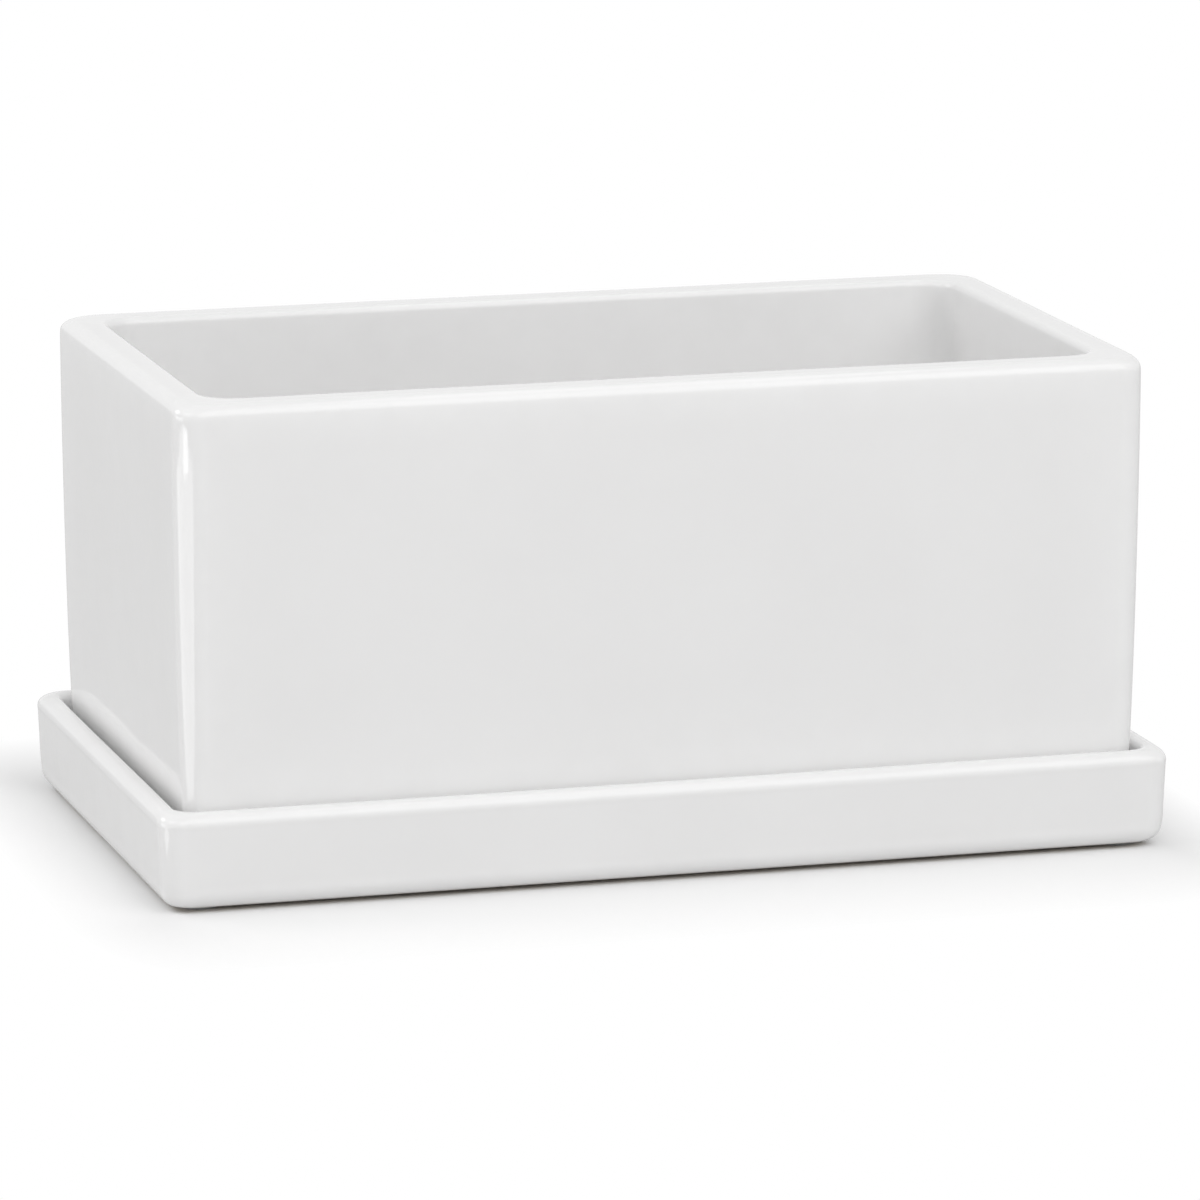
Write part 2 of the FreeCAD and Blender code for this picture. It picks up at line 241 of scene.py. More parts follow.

# %% [markdown]
# ## White glaze
# The finish is a clear glassy layer over an opaque white one. Three things tell it from white
# paint: reflections that bend a little, because the glaze flows while it melts; a surface as fine
# as orange peel under the lamps; and a paler tone on rims and corners, partly where the glaze runs
# thin and partly a painted highlight. The same paler colour is painted light low on the pot's
# walls and high inside it. Where the pieces stood on the kiln shelf there is no glaze, and the
# bare stoneware is warm and dull. A coat over a glossy base would mirror the room twice and turn
# the rims to chrome, so one shader with one smooth surface carries all of it, with two soft bump
# patterns for the flow and two masks that the meshes bring along, named
# `thin_glaze_and_painted_light` and `bare_clay`. The patterns are made of noise in the piece's own
# space, so they move with it.

# %% Colours of the ceramic
GLAZE_THICK = (0.888, 0.884, 0.882, 1)
# The paler colour: partly thin glaze, partly painted highlight and painted light
GLAZE_PALE_AND_LIT = (0.938, 0.936, 0.934, 1)
CLAY_LIGHT = (0.690, 0.615, 0.515, 1)
CLAY_DARK = (0.520, 0.440, 0.350, 1)
PER_MM = 1000.0  # a noise of scale 1 has waves one metre long, which is 1000 mm


def noise_scale(wavelength_mm):
    """The scale of a noise whose waves are that long."""
    return PER_MM / wavelength_mm


print("glaze from", GLAZE_THICK[:3], "to", GLAZE_PALE_AND_LIT[:3])

# %% Sizes of the glaze's patterns, in mm
POOLS = 45  # thicker and thinner places all over
EDGE_PATCHES = 9  # along the thin rims
WIPE_WAVES = 6  # where the glaze was wiped off a foot
CLAY_GRAIN = 0.5
FLOW_WAVES = 22
ORANGE_PEEL = 2.4
GRIT = 0.35  # of the bare clay
MELT_PATCHES = 14  # where the glaze melted more or less smooth
GLAZE_ROUGHNESS = (0.030, 0.060)
CLAY_ROUGHNESS = 0.85
print("flow of", FLOW_WAVES, "mm and peel of", ORANGE_PEEL, "mm")


# %% The glaze's nodes
def make_glaze(name, flow_seed):
    """Glossy white glaze over stoneware, bare where the mask says so."""
    finish = bpy.data.materials.new(name)
    tree = empty_tree(finish)
    here = add_node(tree, "TexCoord").outputs["Object"]
    moved = add_node(tree, "VectorMath", {"operation": "ADD"}, in0=here,
                     in1=(flow_seed, 0, 0)).outputs[0]

    def cloud(wavelength_mm, detail=2.0):
        pattern = add_node(tree, "TexNoise", Vector=moved, Scale=noise_scale(wavelength_mm),
                           Detail=detail)
        return pattern.outputs["Fac"]

    def stretched(value, low, high, to_low=0.0, to_high=1.0):
        return add_node(tree, "MapRange", Value=value, From_Min=low, From_Max=high,
                        To_Min=to_low, To_Max=to_high).outputs[0]

    def mask(attribute):
        return add_node(tree, "Attribute", {"attribute_name": attribute}).outputs["Fac"]

    def blended(factor, first, second):
        return add_node(tree, "Mix", {"data_type": "RGBA"}, in0=factor, in6=first,
                        in7=second).outputs[2]

    def product(first, second):
        return add_node(tree, "Math", {"operation": "MULTIPLY"}, in0=first, in1=second).outputs[0]

    # Glaze colour: paler where the mask says, partly thin glaze on the rims and partly painted
    # highlight and painted light, and a little uneven all over
    pooled = stretched(cloud(POOLS, 3), 0.35, 0.65, 0.0, 0.25)
    edge = product(mask("thin_glaze_and_painted_light"), stretched(cloud(EDGE_PATCHES), 0.3, 0.7, 0.65, 1.0))
    paleness_and_painted_light = add_node(tree, "Math", {"operation": "ADD", "use_clamp": True}, in0=pooled,
                        in1=edge).outputs[0]
    glaze_colour = blended(paleness_and_painted_light, GLAZE_THICK, GLAZE_PALE_AND_LIT)

    # Bare clay, with a wiped glaze line that wanders by a few tenths of a millimetre
    wiped = add_node(tree, "Math", {"operation": "ADD"}, in0=mask("bare_clay"),
                     in1=stretched(cloud(WIPE_WAVES), 0.3, 0.7, -0.25, 0.25)).outputs[0]
    bare = stretched(wiped, 0.45, 0.55)
    grain = stretched(cloud(CLAY_GRAIN, 4), 0.4, 0.7)
    clay_colour = blended(grain, CLAY_LIGHT, CLAY_DARK)
    colour = blended(bare, glaze_colour, clay_colour)

    # Flow and orange peel on the glaze, and grit on the clay
    flow = add_node(tree, "Bump", Height=cloud(FLOW_WAVES, 1), Strength=0.22, Distance=0.0004)
    peel = add_node(tree, "Bump", Height=cloud(ORANGE_PEEL, 1), Strength=0.18,
                    Distance=0.00005, Normal=flow.outputs[0])
    grit_height = product(bare, cloud(GRIT, 3))
    grit = add_node(tree, "Bump", Height=grit_height, Strength=0.6, Distance=0.00012,
                    Normal=peel.outputs[0])

    melt = stretched(cloud(MELT_PATCHES, 2), 0.3, 0.7, *GLAZE_ROUGHNESS)
    rough = stretched(bare, 0.0, 1.0, melt, CLAY_ROUGHNESS)
    shader = add_node(tree, "BsdfPrincipled", Base_Color=colour, Roughness=rough, IOR=1.52,
                      Normal=grit.outputs[0])
    add_node(tree, "OutputMaterial", Surface=shader.outputs[0])
    return finish


pot_glaze = make_glaze("pot_white_glaze", 0.0)
tray_glaze = make_glaze("tray_white_glaze", 3.7)
print("glazes", pot_glaze.name, tray_glaze.name)

# %% [markdown]
# ## Rounded boxes from rings
# Pot and tray are cast in moulds: boxes with soft corners whose walls lean a little. A cube with a
# bevel modifier gives the corners but not the lean, the thick rim or the foot. So each piece is a
# stack of rings. A ring is one rounded rectangle at one height, every ring has the same number of
# points, and neighbouring rings are joined by four-sided faces. A subdivision surface then rounds
# the whole, which glossy glaze needs: it shows every kink.

# %% Helper: the points of one ring
MM = 0.001
CORNER_CUTS = 6  # faces round one upright corner
CORNER_HOLD = 1.3  # in mm: an extra point this far along the straight holds the corner's shape
CORNER_PAINTED_HIGHLIGHT = 0.8  # painted highlight round an upright corner, as a paler glaze colour, where 1 is the palest
# the painted highlight's soft start on the straight beside a corner
HOLD_PAINTED_HIGHLIGHT = 0.4


def side_points(half, corner, stations):
    """Along and inset, in mm, of the points on one side: half an arc, the straight, half an arc."""
    straight = half - corner
    turns = [math.radians(45 - 90 * k / CORNER_CUTS) for k in range(CORNER_CUTS // 2 + 1)]
    start = [(-straight - corner * math.sin(t), corner * (1 - math.cos(t))) for t in turns]
    middle = [CORNER_HOLD - straight, *stations, straight - CORNER_HOLD]
    end = [(-along, inset) for along, inset in reversed(start)]
    return start + [(along, 0.0) for along in middle] + end


def ring_points(half_x, half_y, corner, stations):
    """x and y, in mm, of a rounded rectangle, counted from the front left corner to the right."""
    long_side = side_points(half_x, corner, stations[0])[:-1]
    short_side = side_points(half_y, corner, stations[1])[:-1]
    front = [(along, inset - half_y) for along, inset in long_side]
    right = [(half_x - inset, along) for along, inset in short_side]
    back = [(-along, half_y - inset) for along, inset in long_side]
    left = [(inset - half_x, -along) for along, inset in short_side]
    return front + right + back + left


def corner_painted_highlight(station_count):
    """The painted highlight at each point of one side: the palest glaze colour round the upright
    corners.
    """
    arc = [CORNER_PAINTED_HIGHLIGHT] * (CORNER_CUTS // 2 + 1)
    return arc + [HOLD_PAINTED_HIGHLIGHT] + [0.0] * station_count + [HOLD_PAINTED_HIGHLIGHT] + arc[:-1]


# %% [markdown]
# ## From rings to a shell
# The walls of a piece are drawn once, as a profile: a list of rows from under the foot, up the
# outside, over the rim and down the inside. Each row says how far in from the nominal outline it
# lies, how high, how round its corners are, how much bare clay it has, and how much paler glaze,
# which is partly thin glaze and partly painted light. The flat floor inside and the hollow
# underneath are grids whose outer points are those of the last and the first ring.


# %% Helper: stack the rings
class Shell:
    """A rounded box under construction, with the two glaze masks on its points."""

    def __init__(self, half_x, half_y, stations):
        self.half = (half_x, half_y)
        self.stations = stations
        # Points along a side: its stations, a holding point at each end, and two half arcs
        self.count = [len(row) + 2 + CORNER_CUTS + 2 for row in stations]
        # Painted highlight down the upright corners, as a paler glaze colour
        self.corner_highlight = [share for row in stations for share in corner_painted_highlight(len(row))] * 2
        self.bm = bmesh.new()
        self.bare = self.bm.verts.layers.float.new("bare_clay")
        self.thin_and_lit = self.bm.verts.layers.float.new("thin_glaze_and_painted_light")
        self.rings = []

    def add_ring(self, inset, z, corner, bare=0.0, thin_and_lit=0.0):
        points = ring_points(self.half[0] - inset, self.half[1] - inset, corner, self.stations)
        ring = [self.bm.verts.new((x * MM, y * MM, z * MM)) for x, y in points]
        for vert, corner_highlight in zip(ring, self.corner_highlight):
            vert[self.bare] = bare
            # The paler glaze share: thin glaze, painted highlight and painted light
            vert[self.thin_and_lit] = max(thin_and_lit, corner_highlight)
        self.rings.append(ring)

    def join(self, first, second, columns=None):
        """Faces between two rings, all round or only in some columns."""
        total = len(first)
        for k in range(total) if columns is None else columns:
            after = (k + 1) % total
            self.bm.faces.new((first[k], first[after], second[after], second[k]))

    def border(self, ring, i, j):
        """The ring's point at column i of row j of the grid that fills it, or None inside."""
        last_i, last_j = self.count[0] - 1, self.count[1] - 1
        if j == 0:
            return ring[i]
        if i == last_i:
            return ring[last_i + j]
        if j == last_j:
            return ring[last_i + last_j + last_i - i]
        if i == 0:
            return ring[(2 * last_i + last_j + last_j - j) % len(ring)]
        return None


# %% Helper: fill a ring with a grid
def fill_with_grid(shell, ring, openings=()):
    """A flat grid inside a ring. Openings are (x, half size) in mm; returns each one's edge."""
    columns, rows = shell.count
    xs = [ring[i].co.x for i in range(columns)]
    ys = [ring[columns - 1 + j].co.y for j in range(rows)]
    z = ring[0].co.z
    slack = 0.01 * MM

    def inside(x, y, margin):
        return any(abs(x - at * MM) < half * MM - margin and abs(y) < half * MM - margin
                   for at, half in openings)

    grid = {}
    for j in range(rows):
        for i in range(columns):
            known = shell.border(ring, i, j)
            if known is None and not inside(xs[i], ys[j], slack):
                known = shell.bm.verts.new((xs[i], ys[j], z))
            grid[i, j] = known
    for j in range(rows - 1):
        for i in range(columns - 1):
            if not inside((xs[i] + xs[i + 1]) / 2, (ys[j] + ys[j + 1]) / 2, 0):
                shell.bm.faces.new((grid[i, j], grid[i + 1, j], grid[i + 1, j + 1],
                                    grid[i, j + 1]))
    edges = []
    for at, half in openings:
        i_in = [i for i in range(columns) if abs(xs[i] - at * MM) < half * MM + slack]
        j_in = [j for j in range(rows) if abs(ys[j]) < half * MM + slack]
        edges.append([grid[i, j_in[0]] for i in i_in[:-1]]
                     + [grid[i_in[-1], j] for j in j_in[:-1]]
                     + [grid[i, j_in[-1]] for i in reversed(i_in[1:])]
                     + [grid[i_in[0], j] for j in reversed(j_in[1:])])
    return edges


# %% [markdown]
# ## Turning a shell into a piece
# Hand-finished ware is never quite flat, and glaze settles in soft hills. Real bends in the mesh,
# a tenth of a millimetre high and some centimetres long, make the reflections swim a little, which
# bump alone can't do at the outline. Blender's own `noise` gives smooth hills that are the same
# every time. Then the mesh gets its subdivision surface, its finish and its place in the frame.

# %% Helper: soft hills and the finished piece
HILL_HEIGHT = 0.12  # mm
HILL_LENGTH = 60.0  # mm
HILL_ROOM = 0.15  # mm kept free for the hills under the CAD model's rims


def add_hills(shell, above, seed):
    """Moves the points of the walls in and out a little; floor and foot stay as they are."""
    shell.bm.normal_update()
    shift = Vector((seed, seed, seed))
    for vert in shell.bm.verts:
        if vert.co.z > above * MM:
            hill = noise.noise(vert.co / (HILL_LENGTH * MM) + shift)
            vert.co += vert.normal * hill * HILL_HEIGHT * MM


def finish_piece(bm, name, finish, body, node, rounds=2):
    """Makes the object, rounds it, ties it to the CAD body, and hides the CAD node that it stands
    for.
    """
    bmesh.ops.recalc_face_normals(bm, faces=bm.faces)
    open_edges = sum(not edge.is_manifold for edge in bm.edges)
    mesh = bpy.data.meshes.new(name)
    bm.to_mesh(mesh)
    bm.free()
    mesh.shade_smooth()
    mesh.materials.append(finish)
    piece = bpy.data.objects.new(name, mesh)
    bpy.context.scene.collection.objects.link(piece)
    rounding = piece.modifiers.new("rounding", "SUBSURF")
    rounding.levels = rounds
    rounding.render_levels = rounds
    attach(piece, body)
    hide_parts(node)
    print(name, len(mesh.polygons), "faces before rounding,", open_edges, "open edges")


# %% [markdown]
# ## The pot's profile
# The pot is 254 by 142 mm at the rim and 121 mm high, and stands 7 mm up, on the tray's floor.
# Its outside leans in by 2 mm towards the foot and bows out by half a millimetre half way up, as
# cast walls do, and low down it tucks in a little more. The rim is a flat band with a round edge
# on both sides, and its corners are rounder than those of the walls, because the rim is sponged
# down before firing. The hollow inside leans in too and meets the floor in a wide curve. Sizes
# that the CAD model holds are read from its box; the wall's own are the maker's.

# %% Sizes of the pot
pot_low, pot_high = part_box("pot")
POT_FOOT = pot_low.z / MM
POT_RIM = pot_high.z / MM - HILL_ROOM
POT_HALF = (127.0, 71.0)
POT_CORNER = 7.0
POT_LEAN = 2.0
POT_BOW = 0.5
FOOT_TUCK = 0.5  # how far the wall curves in, low down
TUCK_TOP = 45.0  # the height where that curve starts
TUCK_REACH = 35.0  # how far below that it reaches the full tuck
TUCK_CURVE = 1.6  # where 1 would be a straight slope
LEAST_CORNER = 5.0
RIM_ROUND = 3.3  # outside
RIM_INSIDE = 2.0
RIM_CORNER = 10.0  # on top, seen from above
POT_WALL = 10.5
HOLLOW_CORNER = 9.0
HOLLOW_LEAN = 2.0
POT_FLOOR = POT_FOOT + 8.0
FLOOR_ROUND = 6.0
BEND_CORNER = 7.1  # where the wall starts to bend into the floor
BEND_SHRINK = 0.8  # how much tighter its corners get for each mm further in
CEILING = POT_FOOT + 2.5  # of the hollow inside the foot ring
print("foot", POT_FOOT, "rim", round(POT_RIM, 2), "floor", POT_FLOOR)


# %% Outside, rim and inside as rows
def arc_rows(centre_inset, centre_z, radius, start, end, cuts):
    """Inset and height along an arc. 0 points outwards, 90 up, 180 inwards."""
    turns = [math.radians(start + (end - start) * k / cuts) for k in range(cuts + 1)]
    return [(centre_inset - radius * math.cos(t), centre_z + radius * math.sin(t)) for t in turns]


def pot_outside(z):
    """How far in from the nominal outline the outer wall lies at a height."""
    up = (z - POT_FOOT) / (POT_RIM - POT_FOOT)
    tuck = FOOT_TUCK * max(0, (TUCK_TOP - z) / TUCK_REACH) ** TUCK_CURVE
    return POT_LEAN * (1 - up) - POT_BOW * 4 * up * (1 - up) + tuck


def pot_inside(z):
    return POT_WALL + HOLLOW_LEAN * (POT_RIM - z) / (POT_RIM - POT_FLOOR)


# Each row: inset, height, corner, bare clay, thin glaze and painted light
foot_rows = [(11.0, CEILING, 5.2, 0, 0), (10.3, CEILING - 0.1, 5.1, 0, 0.5),
             (10.0, POT_FOOT + 1.9, 5.0, 0.3, 1), (10.0, POT_FOOT + 0.6, 4.9, 1, 0),
             (9.8, POT_FOOT + 0.15, 4.8, 1, 0), (9.2, POT_FOOT, 4.6, 1, 0),
             (6.8, POT_FOOT, 4.0, 1, 0), (6.0, POT_FOOT, 4.0, 1, 0),
             (5.0, POT_FOOT + 0.4, 4.2, 1, 0), (4.3, POT_FOOT + 1.2, 4.6, 1, 0),
             (4.0, POT_FOOT + 1.9, 4.9, 0.3, 1), (3.9, CEILING, 5.0, 0, 0.6)]
NOTCH_ROWS = len(foot_rows) - 1
# Low on the wall, up to 33 mm, the paler glaze is painted light for the bounce off the tray's rim;
# near the rim it is partly thin glaze and partly painted highlight
wall_rows = [(pot_outside(z), z, max(LEAST_CORNER, POT_CORNER - pot_outside(z)), 0, thin_and_lit)
             for z, thin_and_lit in ((10.6, 1), (19, 1), (28, 1), (33, 0.4), (48, 0), (75, 0), (102, 0),
                             (117, 0.15), (122, 0.7))]
# The rim's edges and top are paler: partly thin glaze, partly painted highlight
outer_edge = [(inset, z, POT_CORNER + (RIM_CORNER - POT_CORNER) * inset / RIM_ROUND, 0, 1)
              for inset, z in arc_rows(RIM_ROUND, POT_RIM - RIM_ROUND, RIM_ROUND, 0, 90, 5)]
rim_top = [(inset, POT_RIM, RIM_CORNER, 0, 0.3) for inset in (4.0, 7.7)]
inner_edge = [(inset, z, HOLLOW_CORNER + (POT_WALL - inset) / 2, 0, 1)
              for inset, z in arc_rows(POT_WALL - RIM_INSIDE, POT_RIM - RIM_INSIDE, RIM_INSIDE,
                                       90, 180, 5)]
print("rows up to the rim", len(foot_rows) + len(wall_rows) + len(outer_edge))

# %% The rows inside the pot
bend_centre = POT_FLOOR + FLOOR_ROUND
bend_inset = pot_inside(bend_centre) + FLOOR_ROUND
# High inside, the paler glaze is painted light that brightens the hollow
inside_rows = [(pot_inside(z), z, HOLLOW_CORNER + POT_WALL - pot_inside(z), 0, thin_and_lit)
               for z, thin_and_lit in ((122.5, 0.9), (106, 0.6), (88, 0), (65, 0), (42, 0), (26, 0))]
bend_rows = [(inset, z, BEND_CORNER - BEND_SHRINK * (inset - pot_inside(bend_centre)), 0, 0)
             for inset, z in arc_rows(bend_inset, bend_centre, FLOOR_ROUND, 0, -90, 4)]
pot_rows = (foot_rows + wall_rows + outer_edge + rim_top + inner_edge + inside_rows + bend_rows)
print("the pot's profile has", len(pot_rows), "rows")

# %% [markdown]
# ## Drain holes and weep notches
# Water leaves through three holes in the floor and through four notches in the foot ring, so that
# the pot never sits in its own seal. Cutting such openings with a Boolean is quick but leaves
# ragged faces that shine badly under glaze. Here the grid of the floor leaves out a square round
# each hole, and a spiral of rings leads from that square down to the hollow underneath. At a notch
# the foot's rows are left out, a flat face closes the top, and two small ladders of faces close
# the ends.

# %% Where the openings are
DRAINS = (-70.0, 0.0, 70.0)
DRAIN_SQUARE = 18.0  # half the width of the square round a hole
DRAIN_ROWS = [(8.6, POT_FLOOR), (7.5, POT_FLOOR - 0.12), (6.75, POT_FLOOR - 0.8),
              (6.1, POT_FLOOR - 1.6), (6.0, POT_FLOOR - 2.6), (6.0, CEILING + 1.0),
              (6.15, CEILING + 0.35), (6.8, CEILING), (8.0, CEILING)]  # radius and height
NOTCHES = ((52.0, 68.0), (-68.0, -52.0))
NOTCH_CREASE = 0.8  # where 1 keeps the notch's edges sharp
half_line = [2.0, 10.0, 18.0, 35.0, 52.0, 60.0, 68.0, 72.0, 80.0, 88.0, 100.0]
pot_stations = ([-x for x in reversed(half_line)] + half_line,
                [-48.0, -33.0, -18.0, -10.0, -2.0, 2.0, 10.0, 18.0, 33.0, 48.0])
print(len(DRAINS), "drain holes,", 2 * len(NOTCHES), "weep notches")


# %% Helper: a hole from floor to hollow
def add_drain(shell, x, top_edge, bottom_edge):
    """Rings from the square in the floor to the one in the hollow's ceiling."""
    total = len(top_edge)
    rings = [top_edge]
    for radius, z in DRAIN_ROWS:
        turns = [math.radians(225 + 360 * k / total) for k in range(total)]
        rings.append([shell.bm.verts.new(((x + radius * math.cos(t)) * MM,
                                          radius * math.sin(t) * MM, z * MM)) for t in turns])
    rings.append(bottom_edge)
    for upper, lower in zip(rings, rings[1:]):
        shell.join(upper, lower)


# %% Helper: notches in the foot ring
def notch_columns(shell):
    """The columns of faces that a notch leaves out, and the columns of its two ends."""
    ring = shell.rings[0]
    skipped, ends = set(), []
    for low, high in NOTCHES:
        for side in (-1, 1):
            found = [k for k, vert in enumerate(ring)
                     if low - 0.01 < vert.co.x / MM < high + 0.01 and vert.co.y * side > 0]
            skipped.update(found[:-1])
            ends += [found[0], found[-1]]
    return skipped, ends


def close_notches(shell, skipped, ends, crease):
    """The notches' flat tops and their ends."""
    inner, outer = shell.rings[0], shell.rings[NOTCH_ROWS]
    shell.join(inner, outer, sorted(skipped))
    for k in ends:
        strip = [shell.rings[row][k] for row in range(NOTCH_ROWS + 1)]
        for step in range(len(strip) // 2 - 1):
            shell.bm.faces.new((strip[step], strip[step + 1], strip[NOTCH_ROWS - step - 1],
                                strip[NOTCH_ROWS - step]))
        for first, second in zip(strip, strip[1:]):
            shell.bm.edges.get((first, second))[crease] = NOTCH_CREASE


# %% Build the pot
pot_shell = Shell(*POT_HALF, pot_stations)
crease = pot_shell.bm.edges.layers.float.new("crease_edge")
for inset, z, corner, bare, thin_and_lit in pot_rows:
    pot_shell.add_ring(inset, z, corner, bare, thin_and_lit)
skipped, ends = notch_columns(pot_shell)
all_columns = range(len(pot_shell.rings[0]))
for row, (lower, upper) in enumerate(zip(pot_shell.rings, pot_shell.rings[1:])):
    kept = [k for k in all_columns if k not in skipped] if row < NOTCH_ROWS else None
    pot_shell.join(lower, upper, kept)
close_notches(pot_shell, skipped, ends, crease)
squares = [(x, DRAIN_SQUARE) for x in DRAINS]
tops = fill_with_grid(pot_shell, pot_shell.rings[-1], squares)
bottoms = fill_with_grid(pot_shell, pot_shell.rings[0], squares)
for x, top_edge, bottom_edge in zip(DRAINS, tops, bottoms):
    add_drain(pot_shell, x, top_edge, bottom_edge)
add_hills(pot_shell, above=24.0, seed=1.5)
finish_piece(pot_shell.bm, "glazed_pot", pot_glaze, "pot", "pot")

# %% [markdown]
# ## The drip tray
# The tray is the same kind of box, lower and with thin walls: a narrow round rim, a flat floor that
# the pot's foot stands on, and underneath a wide foot ring round a shallow hollow. The same
# helpers build it. Only the profile is new.

# %% Sizes of the tray
tray_low, tray_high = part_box("drip_tray")
TRAY_FOOT = tray_low.z / MM
TRAY_RIM = tray_high.z / MM - HILL_ROOM
TRAY_HALF = (133.25, 76.25)
TRAY_CORNER = 6.0
TRAY_WALL = 5.85
TRAY_LEAN = 1.0
TRAY_INSIDE_LEAN = 0.8
TRAY_EDGE = 3.0  # outside
TRAY_INSIDE = 2.0
TRAY_BEND = 4.8  # at the foot
TRAY_BEND_INSET = 0.8  # where that bend starts
TRAY_BEND_SHRINK = 0.3  # how much tighter its corners get for each mm further in
TRAY_RIM_GROW = 0.2  # how much rounder the rim's corners get for each mm further in
TRAY_WELL_CORNER = 4.5
TRAY_FLOOR = TRAY_FOOT + 6.0
TRAY_FLOOR_ROUND = 2.0
TRAY_FLOOR_CORNER = 3.8  # where the wall starts to bend into the floor
TRAY_HOLLOW = TRAY_FOOT + 1.2


def tray_outside(z):
    return TRAY_LEAN * (TRAY_RIM - z) / (TRAY_RIM - TRAY_FOOT)


def tray_inside(z):
    return TRAY_WALL + TRAY_INSIDE_LEAN * (TRAY_RIM - z) / (TRAY_RIM - TRAY_FLOOR)


print("tray from", TRAY_FOOT, "to", round(TRAY_RIM, 2), "mm, floor at", TRAY_FLOOR)

# %% The tray's rows
# Each row: inset, height, corner, bare clay, thin glaze and painted light
tray_foot = [(18.0, TRAY_HOLLOW, 5.0, 0, 0), (17.2, TRAY_HOLLOW - 0.05, 5.6, 0, 0.5),
             (16.9, TRAY_FOOT + 0.8, 5.9, 0.2, 1), (16.7, TRAY_FOOT + 0.25, 6.1, 1, 0),
             (16.0, TRAY_FOOT, 6.4, 1, 0), (12.0, TRAY_FOOT, 5.6, 1, 0),
             (7.4, TRAY_FOOT, 4.4, 1, 0)]
# The paler glaze on the tray's bend, wall and rim is partly thin glaze and partly painted light
tray_bend = [(inset, z, TRAY_CORNER - TRAY_BEND_SHRINK * inset,
              0.8 if z < TRAY_FOOT + 0.2 else 0, 0.6)
             for inset, z in reversed(arc_rows(TRAY_BEND_INSET + TRAY_BEND, TRAY_FOOT + TRAY_BEND,
                                               TRAY_BEND, 0, -90, 7))]
tray_wall = [(tray_outside(z), z, TRAY_CORNER - tray_outside(z), 0, 0.25)
             for z in (7.4, 10, 13, 17, 20.5, 22.2)]
tray_outer_edge = [(inset, z, TRAY_CORNER + TRAY_RIM_GROW * inset, 0, 1)
                   for inset, z in arc_rows(TRAY_EDGE, TRAY_RIM - TRAY_EDGE, TRAY_EDGE, 0, 90, 5)]
tray_top = [(3.4, TRAY_RIM, 6.6, 0, 0.6)]
tray_inner_edge = [(inset, z, TRAY_WELL_CORNER + TRAY_WALL - inset, 0, 1)
                   for inset, z in arc_rows(TRAY_WALL - TRAY_INSIDE, TRAY_RIM - TRAY_INSIDE,
                                            TRAY_INSIDE, 90, 180, 5)]
tray_well = [(tray_inside(z), z, TRAY_WELL_CORNER + TRAY_WALL - tray_inside(z), 0, 0)
             for z in (22.4, 19, 15, 11)]
tray_bend_z = TRAY_FLOOR + TRAY_FLOOR_ROUND
tray_bend_inset = tray_inside(tray_bend_z)
tray_bottom = [(inset, z, TRAY_FLOOR_CORNER - (inset - tray_bend_inset), 0, 0)
               for inset, z in arc_rows(tray_bend_inset + TRAY_FLOOR_ROUND, tray_bend_z,
                                        TRAY_FLOOR_ROUND, 0, -90, 5)]
tray_rows = (tray_foot + tray_bend + tray_wall + tray_outer_edge + tray_top + tray_inner_edge
             + tray_well + tray_bottom)
print("the tray's profile has", len(tray_rows), "rows")

# %% Build the tray
tray_stations = ([-100.0, -80.0, -60.0, -40.0, -20.0, 0.0, 20.0, 40.0, 60.0, 80.0, 100.0],
                 [-45.0, -30.0, -15.0, 0.0, 15.0, 30.0, 45.0])
tray_shell = Shell(*TRAY_HALF, tray_stations)
for inset, z, corner, bare, thin_and_lit in tray_rows:
    tray_shell.add_ring(inset, z, corner, bare, thin_and_lit)
for lower, upper in zip(tray_shell.rings, tray_shell.rings[1:]):
    tray_shell.join(lower, upper)
fill_with_grid(tray_shell, tray_shell.rings[-1])
fill_with_grid(tray_shell, tray_shell.rings[0])
add_hills(tray_shell, above=9.5, seed=4.2)
finish_piece(tray_shell.bm, "glazed_drip_tray", tray_glaze, "tray", "drip_tray")

# %% [markdown]
# ## Plastic net over the drain holes
# The nets are cut from black moulded mesh, whose bars are round and thicken where they cross. A
# grid of thin boxes would look like wire fencing. So the net is one cage: a flat plate of 13 by 13
# cells from which every second cell in both directions is left out. The subdivision surface turns
# the square bars into round ones and rounds the corners of the openings by itself. Each square
# lifts a little at its edges, as a piece cut from a roll does.


# %% The net's finish
NET_BLACK = (0.020, 0.022, 0.020, 1)
NET_SCUFFED = (0.045, 0.048, 0.045, 1)
NET_ROUGHNESS = (0.38, 0.58)


def make_net_plastic():
    """Dull black polypropylene, with a sheen that varies as on moulded plastic."""
    finish = bpy.data.materials.new("black_net_plastic")
    tree = empty_tree(finish)
    here = add_node(tree, "TexCoord").outputs["Object"]
    mould = add_node(tree, "TexNoise", Vector=here, Scale=noise_scale(3), Detail=3.0)
    scuff = add_node(tree, "TexNoise", Vector=here, Scale=noise_scale(0.4), Detail=2.0)
    colour = add_node(tree, "Mix", {"data_type": "RGBA"}, in0=mould.outputs["Fac"],
                      in6=NET_BLACK, in7=NET_SCUFFED)
    rough = add_node(tree, "MapRange", Value=mould.outputs["Fac"], From_Min=0.3, From_Max=0.7,
                     To_Min=NET_ROUGHNESS[0], To_Max=NET_ROUGHNESS[1])
    bump = add_node(tree, "Bump", Height=scuff.outputs["Fac"], Strength=0.25, Distance=0.00005)
    shader = add_node(tree, "BsdfPrincipled", Base_Color=colour.outputs[2],
                      Roughness=rough.outputs[0], IOR=1.49, Normal=bump.outputs[0])
    add_node(tree, "OutputMaterial", Surface=shader.outputs[0])
    return finish


net_plastic = make_net_plastic()
print("net finish", net_plastic.name)

